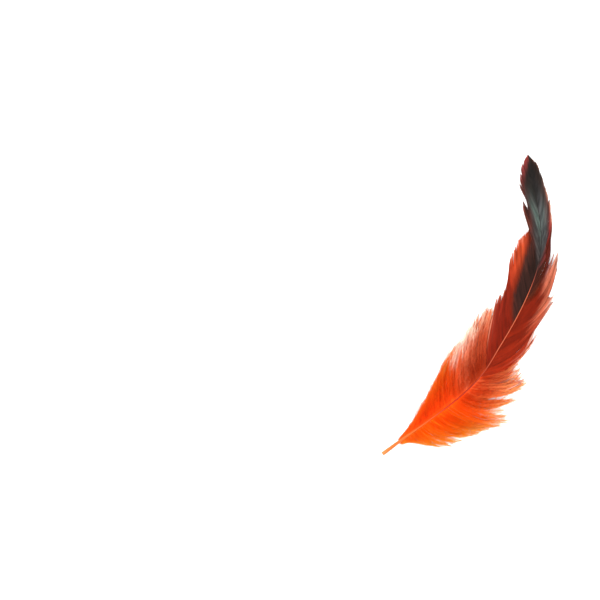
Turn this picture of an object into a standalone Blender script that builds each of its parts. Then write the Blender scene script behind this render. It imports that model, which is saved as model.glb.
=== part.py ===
"""A rooster's tail feather, dyed orange, lying on a flat surface.

The lower two thirds lie with the underside up. Near the tip the feather rolls over, so that
the last third shows its upper side. The quill end is at -X -Y, the tip at +X +Y, and the
surface that the feather lies on is z = 0, with the origin under the middle of its box.

The feather is one solid: a tapered shaft, and two sheets of barbs that grow out of it. Each
sheet is parted into locks, which are thick and soft in the down and thin in the vanes.
"""

import math
import random
from typing import NamedTuple

import bmesh
import bpy
from mathutils import Vector

MM = 0.001

# Shaft: x, y and height of its centre line in mm, from the cut quill end to the tip
SHAFT_ROUTE = (
    (-39.2, -66.7, 0.95),
    (-31.3, -60.8, 1.6),
    (-17.8, -51.1, 2.4),
    (-4.3, -40.7, 2.8),
    (5.6, -30.6, 2.9),
    (13.7, -17.8, 2.9),
    (20.5, -6.1, 3.2),
    (26.3, 6.1, 4.0),
    (29.9, 16.4, 5.0),
    (31.7, 26.3, 5.2),
    (31.3, 36.7, 4.6),
    (29.7, 47.5, 3.4),
    (28.1, 57.8, 2.0),
    (26.3, 67.7, 0.8),
)
# Shaft thickness: place along the shaft and radius, in mm
SHAFT_RADIUS = ((0, 0.9), (12, 0.8), (28, 0.5), (75, 0.32), (110, 0.26), (150, 0.16), (164, 0.12))
SHAFT_STEP = 2.8
SHAFT_ROUNDNESS = 2
# Straight steps between two of the route's points, when the shaft's line is measured
ROUTE_STEPS = 24

# Barbs of the lower sheet. Each row gives the root's place along the shaft in mm, the length in
# mm, the lean away from the shaft in degrees, the outward bow as a share of the length, and the
# height of the barb's end in mm.
LOWER_RIGHT = (
    (10, 5, 53, 0.05, 0.8),
    (15, 9, 69, 0.05, 0.8),
    (19, 15.5, 66, 0.05, 0.8),
    (24, 18.5, 57, 0.05, 0.7),
    (30, 21, 55, 0.05, 0.7),
    (37, 26, 55, 0.05, 0.6),
    (41, 23, 49, 0.05, 0.6),
    (48, 25, 40, 0.04, 0.6),
    (52, 22, 39, 0.04, 0.6),
    (56, 18, 33, 0.03, 0.6),
    (60, 27, 20, 0.03, 0.5),
    (64.5, 35.5, 17, 0.03, 0.4),
    (71, 35, 15, 0.035, 0.4),
    (78, 33, 9, 0.05, 0.5),
    (84, 37, 5, 0.065, 0.8),
    (90, 33, 3, 0.08, 1.4),
    (95, 31, 1, 0.09, 2.6),
    (98, 34, -3, 0.095, 4.6),
    (108, 28.5, -5, 0.07, 4.8),
)
LOWER_LEFT = (
    (10, 6, 28, 0.05, 0.8),
    (16, 10.5, 32, 0.05, 0.8),
    (21, 16, 37, 0.05, 0.7),
    (24, 19.5, 39, 0.05, 0.6),
    (27, 22.5, 41, 0.05, 0.6),
    (33, 27, 45, 0.04, 0.6),
    (44, 26, 44, 0.04, 0.6),
    (49, 31, 41, 0.04, 0.6),
    (54, 32, 37, 0.04, 0.5),
    (58, 28, 31, 0.04, 0.5),
    (61, 32, 27, 0.03, 0.4),
    (66, 29.5, 24, 0.03, 0.4),
    (73, 29.5, 25, 0.03, 0.4),
    (80, 29.5, 27.5, 0.03, 0.4),
    (87, 30, 28.5, 0.03, 0.4),
    (94, 29, 28, 0.03, 0.6),
    (100, 27.5, 26, 0.03, 1.2),
    (108, 24, 18, 0.03, 2.0),
)
# Barbs of the upper sheet, past the roll, where the two sides have changed places
UPPER_RIGHT = (
    (112, 20, 5, 0.07, 3.2),
    (118, 19.5, 6, 0.05, 2.9),
    (124, 19.5, 12, 0.03, 2.4),
    (130, 19, 12, 0.03, 1.8),
    (138, 16.5, 15, 0.03, 1.2),
    (146, 13.5, 12, 0.04, 0.8),
    (156, 6, 8, 0.05, 0.6),
    (162, 1.4, 8, 0.05, 0.6),
)
UPPER_LEFT = (
    (112, 7, 26, -0.06, 5.6),
    (116, 22, 27, -0.06, 4.8),
    (122, 21, 20.5, -0.045, 3.8),
    (126, 22, 17.5, -0.035, 2.8),
    (133, 20.5, 16, -0.015, 1.8),
    (140, 18, 13.5, 0.01, 1.2),
    (148, 13.5, 12, 0.02, 0.8),
    (157, 5.5, 8, 0.04, 0.6),
    (162, 1.4, 8, 0.04, 0.6),
)

# Locks: three columns of grid points make a lock, and the faces between one lock's last column
# and the next lock's first are the cleft. A lock's edge columns are drawn apart by CLEFT_CLOSE
# and together again towards the tip by LOCK_TAPER, in columns.
LOCK_PITCH = 3
CLEFT_CLOSE = 0.38
LOCK_TAPER = 0.2
# Height of a lock's middle over its edges in mm, and the share of it that is lost at the tip
VANE_CROWN = 0.3
DOWN_CROWN = 0.9
CROWN_LOSS = 0.7
# How much nearer to the shaft the clefts start in the down, as a share of a barb's length
DOWN_CLEFT = 0.28
# Where a barb's shape changes, as shares of its length from the shaft: its lock is spread and
# crowned and its sheet is thickest, its sheet thins again, and its lock draws to a point
SPREAD_AT = 0.3
CROWNED_AT = 0.25
FULL_AT = 0.3
THINS_FROM = 0.45
TAPERS_FROM = 0.55
# A vane's barb comes down to its end's height over its whole length, and a downy one in this share
DOWN_RESTS_AT = 0.4


class Sheet(NamedTuple):
    """One layer of barbs: its barbs, its part of the shaft in mm, its grid and its locks.

    clefts is where the clefts between its locks start, and tooth is how much shorter a lock
    is at its edges, both as the least and the most share of a barb's length.
    """

    name: str
    left: tuple
    right: tuple
    span: tuple
    columns: int
    rows: int
    clefts: tuple
    tooth: tuple
    seed: int


LOWER = Sheet(
    name="lower", left=LOWER_LEFT, right=LOWER_RIGHT, span=(10, 107.5), columns=54, rows=9,
    clefts=(0.62, 0.84), tooth=(0.05, 0.14), seed=3,
)
UPPER = Sheet(
    name="upper", left=UPPER_LEFT, right=UPPER_RIGHT, span=(112, 161.5), columns=30, rows=7,
    clefts=(0.7, 0.9), tooth=(0.03, 0.07), seed=5,
)

# Thickness in mm of the vane and of the down: at the shaft, at its fullest and at the ends
VANE_THICKNESS = (0.3, 0.5, 0.4)
DOWN_THICKNESS = (0.7, 3.6, 1.7)
DOWN_SPAN = (9, 20, 50, 66)
# How far the down's underside would lie below the surface, before the surface flattens it
DOWN_SINK = 0.55

FEATHER_COLOUR = (0.75, 0.12, 0.015, 1.0)
FEATHER_ROUGHNESS = 0.6
WELD = 0.000001


def ease(value):
    """A soft step from 0 to 1."""
    value = min(max(value, 0.0), 1.0)
    return value * value * (3.0 - 2.0 * value)


def mix(first, second, share):
    return first + (second - first) * share


def rise(value, start, end):
    """A soft step from 0 where the value is at its start to 1 at its end."""
    return ease((value - start) / (end - start))


def read_row(rows, place):
    """The values of a table of rows at a place, in an even line between two rows."""
    if place <= rows[0][0]:
        return rows[0][1:]
    for before, after in zip(rows, rows[1:]):
        if place <= after[0]:
            share = (place - before[0]) / (after[0] - before[0])
            return tuple(mix(a, b, share) for a, b in zip(before[1:], after[1:]))
    return rows[-1][1:]


class Shaft:
    """A smooth line through the route's points, read by the distance along it in mm."""

    def __init__(self, route):
        knots = [Vector(point) for point in route]
        slopes = [self.slope(knots, index) for index in range(len(knots))]
        self.points = [knots[0]]
        self.places = [0.0]
        for index in range(len(knots) - 1):
            span = (knots[index + 1] - knots[index]).length
            for step in range(1, ROUTE_STEPS + 1):
                share = step / ROUTE_STEPS
                point = self.blend(knots, slopes, index, span, share)
                self.places.append(self.places[-1] + (point - self.points[-1]).length)
                self.points.append(point)
        self.length = self.places[-1]

    @staticmethod
    def slope(knots, index):
        before = knots[max(index - 1, 0)]
        after = knots[min(index + 1, len(knots) - 1)]
        return (after - before).normalized()

    @staticmethod
    def blend(knots, slopes, index, span, share):
        square = share * share
        cube = square * share
        return (
            knots[index] * (2 * cube - 3 * square + 1)
            + slopes[index] * (span * (cube - 2 * square + share))
            + knots[index + 1] * (3 * square - 2 * cube)
            + slopes[index + 1] * (span * (cube - square))
        )

    def at(self, place):
        """The point and the heading in plan at a place along the shaft."""
        place = min(max(place, 0.0), self.length)
        index = 1
        while self.places[index] < place and index < len(self.places) - 1:
            index += 1
        start, end = self.points[index - 1], self.points[index]
        share = (place - self.places[index - 1]) / (self.places[index] - self.places[index - 1])
        along = end - start
        return start.lerp(end, share), math.atan2(along.y, along.x)


def down_share(place):
    """How downy the feather is at a place along the shaft, from 0 to 1."""
    starts, full, thins, ends = DOWN_SPAN
    return rise(place, starts, full) * (1.0 - rise(place, thins, ends))


def swell(thicknesses, out):
    """A barb layer's thickness at a share of its length, from its three given values."""
    at_shaft, full, at_ends = thicknesses
    inner = mix(at_shaft, full, rise(out, 0.0, FULL_AT))
    return mix(inner, at_ends, rise(out, THINS_FROM, 1.0))


def thickness(place, out):
    """Thickness in mm of a sheet at a place along the shaft and a share of a barb's length."""
    return mix(swell(VANE_THICKNESS, out), swell(DOWN_THICKNESS, out), down_share(place))


def barb_point(shaft, rows, side, place, out):
    """A point in mm on the barb whose root is at a place; side is 1 on the left, -1 right."""
    root, heading = shaft.at(place)
    length, lean, bow, end_height = read_row(rows, place)
    angle = heading + side * math.radians(lean)
    along = Vector((math.cos(angle), math.sin(angle), 0.0))
    across = Vector((-along.y, along.x, 0.0)) * side
    point = root + along * (length * out) + across * (bow * length * 4.0 * out * (1.0 - out))
    downy = down_share(place)
    low = mix(end_height, 0.5 * thickness(place, out) - DOWN_SINK, downy)
    point.z = mix(root.z, low, rise(out, 0.0, mix(1.0, DOWN_RESTS_AT, downy)))
    return point


class Lock:
    """One lock's own cleft and tooth, drawn from a seeded source."""

    def __init__(self, source, sheet, place):
        self.cleft = source.uniform(*sheet.clefts) - DOWN_CLEFT * down_share(place)
        self.tooth = source.uniform(*sheet.tooth)


def sheet_point(shaft, rows, side, column_place, pitch, across, lock, out):
    """A grid point of a sheet; across is -1, 0 or 1 from a lock's one edge to the other."""
    spread = CLEFT_CLOSE * rise(out, 0.0, SPREAD_AT) - LOCK_TAPER * rise(out, TAPERS_FROM, 1.0)
    place = column_place + across * pitch * spread
    reach = out * (1.0 - abs(across) * lock.tooth * ease(out))
    point = barb_point(shaft, rows, side, place, reach)
    crown = mix(VANE_CROWN, DOWN_CROWN, down_share(place))
    crown *= rise(out, 0.0, CROWNED_AT) * (1.0 - CROWN_LOSS * ease(out))
    point.z += (0.5 - abs(across)) * crown
    return point


def grow_sheet(shaft, sheet):
    """A closed sheet through the shaft's centre line, with clefts between its locks.

    It starts as an open sheet. Its underside is a copy of it, moved straight down, and nowhere
    lower than the surface that the feather lies on.
    """
    source = random.Random(sheet.seed)
    start, end = sheet.span
    pitch = (end - start) / sheet.columns
    build = bmesh.new()
    bmesh.ops.create_grid(
        build, x_segments=sheet.columns, y_segments=2 * sheet.rows, size=0.5
    )
    depth = build.verts.layers.float.new("depth")
    grid = {}
    for vert in build.verts:
        column = round((vert.co.x + 0.5) * sheet.columns)
        row = round((vert.co.y + 0.5) * 2 * sheet.rows) - sheet.rows
        grid[column, row] = vert
    locks = {}
    clefts = set()
    for (column, row), vert in sorted(grid.items(), key=lambda item: item[0]):
        place = start + column * pitch
        side = -1 if row < 0 else 1
        turn = column + (1 if side < 0 else 0)
        if (side, turn // LOCK_PITCH) not in locks:
            locks[side, turn // LOCK_PITCH] = Lock(source, sheet, place)
        lock = locks[side, turn // LOCK_PITCH]
        across = turn % LOCK_PITCH - 1
        out = abs(row) / sheet.rows
        barbs = sheet.right if side < 0 else sheet.left
        point = sheet_point(shaft, barbs, side, place, pitch, across, lock, out)
        vert[depth] = thickness(place, out)
        vert.co = (point + Vector((0.0, 0.0, 0.5 * vert[depth]))) * MM
        if across == 1 and out > lock.cleft and column < sheet.columns:
            pair = (grid[column, row], grid[column + 1, row])
            inner_pair = (grid[column, row - side], grid[column + 1, row - side])
            clefts.add(frozenset(pair + inner_pair))
    open_faces = [face for face in build.faces if frozenset(face.verts) in clefts]
    bmesh.ops.delete(build, geom=open_faces, context="FACES")
    grown = bmesh.ops.extrude_face_region(build, geom=build.faces[:], use_keep_orig=True)
    for item in grown["geom"]:
        if isinstance(item, bmesh.types.BMVert):
            item.co.z = max(item.co.z - item[depth] * MM, 0.0)
    bmesh.ops.recalc_face_normals(build, faces=build.faces)
    mesh = bpy.data.meshes.new(sheet.name)
    build.to_mesh(mesh)
    build.free()
    return bpy.data.objects.new(sheet.name, mesh)


def made_mesh(source, name):
    """A mesh object of what a curve or a modified object looks like, with its caps welded."""
    graph = bpy.context.evaluated_depsgraph_get()
    mesh = bpy.data.meshes.new_from_object(source.evaluated_get(graph))
    build = bmesh.new()
    build.from_mesh(mesh)
    bmesh.ops.remove_doubles(build, verts=build.verts, dist=WELD)
    bmesh.ops.recalc_face_normals(build, faces=build.faces)
    build.to_mesh(mesh)
    build.free()
    made = bpy.data.objects.new(name, mesh)
    made.matrix_world = source.matrix_world.copy()
    return made


def shaft_tube(shaft, guides):
    """The shaft as a tapered tube with closed ends."""
    curve = bpy.data.curves.new("shaft_line", "CURVE")
    curve.dimensions = "3D"
    curve.bevel_depth = MM
    curve.bevel_resolution = SHAFT_ROUNDNESS
    curve.use_fill_caps = True
    count = round(shaft.length / SHAFT_STEP)
    line = curve.splines.new("POLY")
    line.points.add(count)
    for index, point in enumerate(line.points):
        place = shaft.length * index / count
        point.co = (*(shaft.at(place)[0] * MM), 1.0)
        point.radius = read_row(SHAFT_RADIUS, place)[0]
    path = bpy.data.objects.new("shaft_line", curve)
    guides.objects.link(path)
    tube = made_mesh(path, "feather")
    bpy.data.objects.remove(path)
    return tube


def feather_material():
    material = bpy.data.materials.new("feather")
    material.use_nodes = True
    surface = material.node_tree.nodes["Principled BSDF"]
    surface.inputs["Base Color"].default_value = FEATHER_COLOUR
    surface.inputs["Roughness"].default_value = FEATHER_ROUGHNESS
    surface.inputs["Metallic"].default_value = 0.0
    return material


def join(feather, sheet, guides):
    """Grow a sheet onto the feather; the sheet itself stays as a guide."""
    guides.objects.link(sheet)
    sheet.hide_render = True
    sheet.display_type = "WIRE"
    union = feather.modifiers.new(sheet.name, "BOOLEAN")
    union.operation = "UNION"
    union.solver = "EXACT"
    union.object = sheet


def new_collection(name):
    collection = bpy.data.collections.new(name)
    bpy.context.scene.collection.children.link(collection)
    return collection


def clear_scene():
    for item in list(bpy.data.objects):
        bpy.data.objects.remove(item)


clear_scene()
parts = new_collection("rooster_feather")
guides = new_collection("guides")
shaft = Shaft(SHAFT_ROUTE)
feather = shaft_tube(shaft, guides)
parts.objects.link(feather)
feather.data.materials.append(feather_material())
for sheet in (LOWER, UPPER):
    join(feather, grow_sheet(shaft, sheet), guides)
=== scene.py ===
import math
from typing import NamedTuple

import bmesh
import bpy
import numpy as np
from mathutils import Matrix, Vector


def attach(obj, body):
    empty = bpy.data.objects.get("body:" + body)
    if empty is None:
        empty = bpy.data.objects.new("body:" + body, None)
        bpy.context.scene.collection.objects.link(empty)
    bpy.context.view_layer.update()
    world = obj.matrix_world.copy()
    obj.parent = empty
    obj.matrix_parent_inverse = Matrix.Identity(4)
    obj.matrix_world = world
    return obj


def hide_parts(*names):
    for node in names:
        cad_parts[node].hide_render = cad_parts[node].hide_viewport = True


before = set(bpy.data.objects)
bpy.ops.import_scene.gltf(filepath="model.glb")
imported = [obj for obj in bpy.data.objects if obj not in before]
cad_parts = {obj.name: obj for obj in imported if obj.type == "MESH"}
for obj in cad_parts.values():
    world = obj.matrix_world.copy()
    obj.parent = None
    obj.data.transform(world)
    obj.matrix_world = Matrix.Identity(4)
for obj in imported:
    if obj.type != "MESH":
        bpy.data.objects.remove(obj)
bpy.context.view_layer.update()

# Table top, light and camera.
# The feather lies on a plain white table top, and the camera looks straight down on it. The light
# is an even pale sky and two broad round lamps, which give the dark tip its gloss. Its green sheen
# is painted into its colour.
PICTURE_WIDTH = 0.270
PICTURE_CENTRE = (-0.0763, 0.0025)
CAMERA_LENS = 120.0
CAMERA_SENSOR = 36.0
TABLE_WIDTH = 3.0
TABLE_COLOUR = (0.93, 0.93, 0.93, 1.0)
TABLE_ROUGHNESS = 0.9
SKY_COLOUR = (1.0, 1.0, 1.0, 1.0)
SKY_STRENGTH = 1.6
# Each lamp's place and width in metres, and its watts
LAMPS = (
    ((-0.42, 0.55, 0.75), 0.7, 12.8),
    ((0.55, -0.30, 0.80), 0.9, 6.4),
)


def shown(name, data):
    piece = bpy.data.objects.new(name, data)
    bpy.context.scene.collection.objects.link(piece)
    return piece


def bare_material(name):
    """A new material, and the inputs of its surface."""
    material = bpy.data.materials.new(name)
    material.use_nodes = True
    return material, material.node_tree.nodes["Principled BSDF"].inputs


build = bmesh.new()
bmesh.ops.create_grid(build, x_segments=1, y_segments=1, size=TABLE_WIDTH / 2)
table_top = bpy.data.meshes.new("table_top")
build.to_mesh(table_top)
build.free()
material, inputs = bare_material("table_white")
inputs["Base Color"].default_value = TABLE_COLOUR
inputs["Roughness"].default_value = TABLE_ROUGHNESS
table_top.materials.append(material)
shown("table_top", table_top)

world = bpy.data.worlds.new("studio")
world.use_nodes = True
sky = world.node_tree.nodes["Background"].inputs
sky["Color"].default_value = SKY_COLOUR
sky["Strength"].default_value = SKY_STRENGTH
bpy.context.scene.world = world
for number, (place, width, watts) in enumerate(LAMPS):
    light = bpy.data.lights.new(f"lamp_{number}", "AREA")
    light.shape = "DISK"
    light.size = width
    light.energy = watts
    lamp = shown(light.name, light)
    lamp.location = place
    lamp.rotation_euler = (-Vector(place)).to_track_quat("-Z", "Y").to_euler()

lens = bpy.data.cameras.new("camera")
lens.lens = CAMERA_LENS
lens.sensor_width = CAMERA_SENSOR
camera = shown("camera", lens)
camera.location = (*PICTURE_CENTRE, PICTURE_WIDTH * CAMERA_LENS / CAMERA_SENSOR)
bpy.context.scene.camera = camera
bpy.context.scene.view_settings.view_transform = "Standard"

# Quill and shaft.
# The feather's one stiff part: a hollow horny quill with a cut end, which tapers into a fine
# shaft. Its underside, which is up as far as the roll, has a groove. The barbs grow from it.
MM = 0.001
# Points of its middle line in mm, from the cut end to the tip
SHAFT_ROUTE = (
    (-39.2, -66.7, 0.95), (-31.3, -60.8, 1.6), (-17.8, -51.1, 2.4), (-4.3, -40.7, 2.8),
    (5.6, -30.6, 2.9), (13.7, -17.8, 2.9), (20.5, -6.1, 3.2), (26.3, 6.1, 4), (29.9, 16.4, 5),
    (31.7, 26.3, 5.2), (31.3, 36.7, 4.6), (29.7, 47.5, 3.4), (28.1, 57.8, 2), (26.3, 67.7, 0.8),
)
ROUTE_STEPS = 24
# Place along the shaft and radius there, both in mm
SHAFT_RADIUS = (
    (0, 0.88), (10, 0.7), (27, 0.38), (45, 0.24), (60, 0.18), (80, 0.16), (110, 0.14), (150, 0.1),
    (164, 0.07),
)
SHAFT_SIDES = 16
SHAFT_STEP = 0.8
# Place along the shaft in mm, and the groove's depth there as a share of the radius
GROOVE_DEPTH = ((14, 0.0), (28, 0.35), (102, 0.35), (108, 0.0))
GROOVE_SHARE_BESIDE = 0.4
QUILL_WALL = 0.24
QUILL_HOLLOW = 1.6
SHARP_ANGLE = 50.0


def read(table, place, column=1):
    """A table's value at a place along the shaft or a barb, in an even line between two rows."""
    rows = np.array(table, float)
    return np.interp(place, rows[:, 0], rows[:, column])


class Line:
    """The smooth line of the shaft through its route's points, read by the mm along it."""

    def __init__(self, route):
        knots = np.array(route, float)
        before = np.vstack([knots[:1], knots[:-1]])
        after = np.vstack([knots[1:], knots[-1:]])
        slopes = (after - before) / np.linalg.norm(after - before, axis=1)[:, None]
        spans = np.linalg.norm(knots[1:] - knots[:-1], axis=1)[:, None, None]
        t = (np.arange(1, ROUTE_STEPS + 1) / ROUTE_STEPS)[None, :, None]
        drawn = (
            knots[:-1, None] * (2 * t**3 - 3 * t**2 + 1)
            + slopes[:-1, None] * spans * (t**3 - 2 * t**2 + t)
            + knots[1:, None] * (3 * t**2 - 2 * t**3)
            + slopes[1:, None] * spans * (t**3 - t**2)
        )
        self.points = np.vstack([knots[:1], drawn.reshape(-1, 3)])
        steps = self.points[1:] - self.points[:-1]
        self.places = np.concatenate([[0.0], np.cumsum(np.linalg.norm(steps, axis=1))])
        self.middles = (self.places[1:] + self.places[:-1]) / 2
        self.headings = np.unwrap(np.arctan2(steps[:, 1], steps[:, 0]))
        self.climbs = np.arctan2(steps[:, 2], np.hypot(steps[:, 0], steps[:, 1]))
        self.length = self.places[-1]

    def point(self, place):
        return np.stack([np.interp(place, self.places, self.points[:, k]) for k in range(3)], -1)

    def heading(self, place):
        return np.interp(place, self.middles, self.headings)

    def nearest(self, points):
        """The place of the shaft nearest to each point in plan, and its distance from there."""
        gaps = points[..., None, :2] - self.points[:, :2]
        distances = np.hypot(gaps[..., 0], gaps[..., 1])
        return self.places[distances.argmin(axis=-1)], distances.min(axis=-1)


line = Line(SHAFT_ROUTE)


def station(place):
    """The place, turn and size of the shaft's ring at a place along it, as one matrix."""
    turn = Matrix.Rotation(float(line.heading(place)), 4, "Z")
    climb = float(np.interp(place, line.middles, line.climbs))
    tilt = Matrix.Rotation(math.pi / 2 - climb, 4, "Y")
    size = Matrix.Scale(float(read(SHAFT_RADIUS, place)) * MM, 4)
    return Matrix.Translation(Vector(line.point(place)) * MM) @ turn @ tilt @ size


def cut_groove(rings):
    """Sinks the top line of each ring into the shaft, and the lines beside it a little less."""
    for place, ring in rings:
        depth = float(read(GROOVE_DEPTH, place) * read(SHAFT_RADIUS, place)) * MM
        by_height = sorted(ring, key=lambda vert: -vert.co.z)
        by_height[0].co.z -= depth
        for beside in by_height[1:3]:
            beside.co.z -= depth * GROOVE_SHARE_BESIDE


def shaft_mesh():
    """A ring drawn along the shaft's line step by step, with a hollow cut end."""
    build = bmesh.new()
    root = build.verts.layers.float.new("root")
    ring = bmesh.ops.create_circle(build, segments=SHAFT_SIDES, radius=1.0)["verts"]
    edges = build.edges[:]
    before = station(0.0)
    bmesh.ops.transform(build, matrix=before, verts=ring)
    rings = [(0.0, ring)]
    count = round(line.length / SHAFT_STEP)
    for step in range(1, count + 1):
        place = line.length * step / count
        grown = bmesh.ops.extrude_edge_only(build, edges=edges)["geom"]
        ring = [item for item in grown if isinstance(item, bmesh.types.BMVert)]
        edges = [item for item in grown if isinstance(item, bmesh.types.BMEdge)]
        after = station(place)
        bmesh.ops.transform(build, matrix=after @ before.inverted(), verts=ring)
        before = after
        rings.append((place, ring))
    for place, ring in rings:
        for vert in ring:
            vert[root] = place
    cut_groove(rings)
    caps = bmesh.ops.holes_fill(build, edges=build.edges, sides=0)["faces"]
    bmesh.ops.recalc_face_normals(build, faces=build.faces)
    start = Vector(line.point(0.0)) * MM
    cut_end = min(caps, key=lambda face: (face.calc_center_median() - start).length)
    bmesh.ops.inset_individual(
        build, faces=[cut_end], thickness=QUILL_WALL * MM, depth=-QUILL_HOLLOW * MM
    )
    mesh = bpy.data.meshes.new("shaft")
    build.to_mesh(mesh)
    build.free()
    mesh.shade_smooth()
    mesh.set_sharp_from_angle(angle=math.radians(SHARP_ANGLE))
    return mesh


class Flow:
    """A value or colour on its way through a material's nodes, with sums written as sums."""

    def __init__(self, tree, socket=None):
        self.tree, self.socket = tree, socket

    def node(self, kind, settings=None, values=None, output=0):
        """A new node: its settings are made first, and then its sockets are set or linked."""
        made = self.tree.nodes.new(kind)
        for name, value in (settings or {}).items():
            if name == "stops":
                self.set_stops(made.color_ramp, value)
            else:
                setattr(made, name, value)
        for name, value in (values or {}).items():
            if isinstance(value, Flow):
                self.tree.links.new(value.socket, made.inputs[name])
            else:
                made.inputs[name].default_value = value
        return Flow(self.tree, made.outputs[output])

    @staticmethod
    def set_stops(ramp, stops):
        while len(ramp.elements) < len(stops):
            ramp.elements.new(1.0)
        for element, (place, colour) in zip(ramp.elements, stops):
            element.position = place
        for element, (place, colour) in zip(ramp.elements, stops):
            element.color = colour

    def sum(self, operation, first, second):
        return self.node("ShaderNodeMath", {"operation": operation}, {0: first, 1: second})

    def __add__(self, other):
        return self.sum("ADD", self, other)

    __radd__ = __add__

    def __sub__(self, other):
        return self.sum("SUBTRACT", self, other)

    def __rsub__(self, other):
        return self.sum("SUBTRACT", other, self)

    def __mul__(self, other):
        return self.sum("MULTIPLY", self, other)

    __rmul__ = __mul__

    def attribute(self, name):
        """A number that the piece's mesh carries."""
        return self.node("ShaderNodeAttribute", {"attribute_name": name}, output="Fac")

    def between(self, low, high):
        """A soft step: 0 where the value is at low or under, and 1 at high or over."""
        values = {"Value": self, "From Min": low, "From Max": high}
        return self.node("ShaderNodeMapRange", {"interpolation_type": "SMOOTHSTEP"}, values)

    def ramp(self, stops):
        return self.node("ShaderNodeValToRGB", {"stops": stops}, {"Fac": self})

    def blend(self, first, second, share, way="MIX"):
        settings = {"data_type": "RGBA", "blend_type": way}
        return self.node("ShaderNodeMix", settings, {0: share, 6: first, 7: second}, output=2)


# How much light comes back from a white place under this sky and these lamps: red, green, blue
LIGHT = np.array([2.05, 2.05, 2.05])


def seen(red, green, blue, light=LIGHT):
    """The share of light to give back so that a colour, from 0 to 255, shows under this light.

    Its numbers are those of the common curve between light and a picture's values.
    """
    shares = np.array([red, green, blue]) / 255.0
    shares = np.where(shares <= 0.04045, shares / 12.92, ((shares + 0.055) / 1.055) ** 2.4)
    return (*np.minimum(shares / light, 1.0).tolist(), 1.0)


def along_shaft(*stops, light=LIGHT):
    """Colour stops of a ramp, from rows of a place along the shaft in mm and a seen colour."""
    return [(place / line.length, seen(*colour, light)) for place, *colour in stops]


# Place along the shaft in mm and colour. It is deeper red from 38 to 50 mm.
HORN_COLOURS = along_shaft(
    (0, 246, 160, 90), (4, 244, 134, 58), (14, 246, 116, 40), (28, 240, 96, 28), (38, 215, 54, 14),
    (50, 178, 44, 18), (60, 214, 86, 48), (74, 246, 122, 80), (97, 240, 120, 80),
    (104, 190, 84, 60), (111, 120, 60, 48), (114, 52, 42, 38), (164, 20, 18, 18),
)
HORN_ROUGHNESS = 0.5
HORN_SPECULAR = 0.12
SPECK_SCALE = 900.0
SPECK_DETAIL = 4.0
SPECK_SHADE = 0.35
SPECK_BUMP = {"Strength": 0.3, "Distance": 0.0001}


def coat(inputs, colour, roughness, specular, bump):
    """Gives a surface its worked-out colour and bump, and its even gloss."""
    colour.tree.links.new(colour.socket, inputs["Base Color"])
    if bump:
        bump.tree.links.new(bump.socket, inputs["Normal"])
    inputs["Roughness"].default_value = roughness
    inputs["Specular IOR Level"].default_value = specular


def horn_material():
    """Dyed horn: colours along the shaft, with fine specks between which it is deeper."""
    material, inputs = bare_material("quill_horn")
    flow = Flow(material.node_tree)
    place = flow.attribute("root") * (1.0 / line.length)
    colour = place.ramp(HORN_COLOURS)
    where = flow.node("ShaderNodeTexCoord", output="Object")
    values = {"Vector": where, "Scale": SPECK_SCALE, "Detail": SPECK_DETAIL}
    specks = flow.node("ShaderNodeTexNoise", values=values)
    deeper = flow.blend(colour, colour, 1.0, "MULTIPLY")
    colour = flow.blend(colour, deeper, (1.0 - specks) * SPECK_SHADE)
    bump = flow.node("ShaderNodeBump", values={**SPECK_BUMP, "Height": specks})
    coat(inputs, colour, HORN_ROUGHNESS, HORN_SPECULAR, bump)
    return material


def fit(name, mesh, material):
    """Puts a finished mesh in the feather's place."""
    mesh.materials.append(material)
    piece = shown(name, mesh)
    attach(piece, "root")
    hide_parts("feather")


fit("shaft", shaft_mesh(), horn_material())

# Vanes below the roll, underside up.
# Some two hundred barbs a side grow out of the shaft and lean towards the tip. Hooks along their
# edges hold them together in locks, which lap over each other and fray at their ends.
BARB_GAP = 0.28
BARB_STEPS = 22
LEFT_SPAN = (50.0, 114.0)
RIGHT_SPAN = (50.0, 109.5)
# Each barb row: the root's place along the shaft and the length in mm, the lean away from the
# shaft in degrees, the outward bow as a share of the length, and the end's height in mm
LOWER_RIGHT = (
    (10, 3.5, 50, 0.08, 0.8), (15, 9, 69, 0.08, 0.8), (19, 16, 66, 0.08, 0.8),
    (24, 19.5, 57, 0.08, 0.7), (30, 22.5, 55, 0.08, 0.7), (37, 27.5, 54.5, 0.09, 0.6),
    (41, 24.5, 48.5, 0.09, 0.6), (44.2, 23.5, 45, 0.09, 0.6), (45.6, 14, 46, 0.09, 0.6),
    (47.2, 26, 40.5, 0.1, 0.6), (52, 22.5, 38.5, 0.09, 0.6), (55, 18, 27, 0.1, 0.6),
    (56.3, 31.2, 14.6, 0.115, 0.6), (57.8, 30, 15.4, 0.115, 0.6), (58.2, 29.2, 13, 0.12, 0.6),
    (59.6, 31, 13.4, 0.11, 0.55), (61.6, 32.3, 15.2, 0.1, 0.5), (64.3, 33.1, 17.6, 0.08, 0.4),
    (66, 32.8, 18.8, 0.08, 0.4), (71, 31, 20.5, 0.06, 0.4), (75.5, 29.3, 19.8, 0.06, 0.4),
    (80, 27.3, 19.3, 0.07, 0.5), (81.4, 37, 5.4, 0.13, 0.6), (84, 36.8, 5, 0.1, 0.8),
    (88, 33.5, 6, 0.08, 1.2), (90, 31.2, 6.2, 0.075, 1.4), (94, 29.2, 4.4, 0.08, 2.2),
    (97.5, 26.4, 5.8, 0.075, 2.8), (98.1, 32.6, -4, 0.066, 4.3), (104, 28, -2.5, 0.05, 4.6),
    (109.5, 24.3, 0.8, 0.02, 4.7),
)
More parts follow.
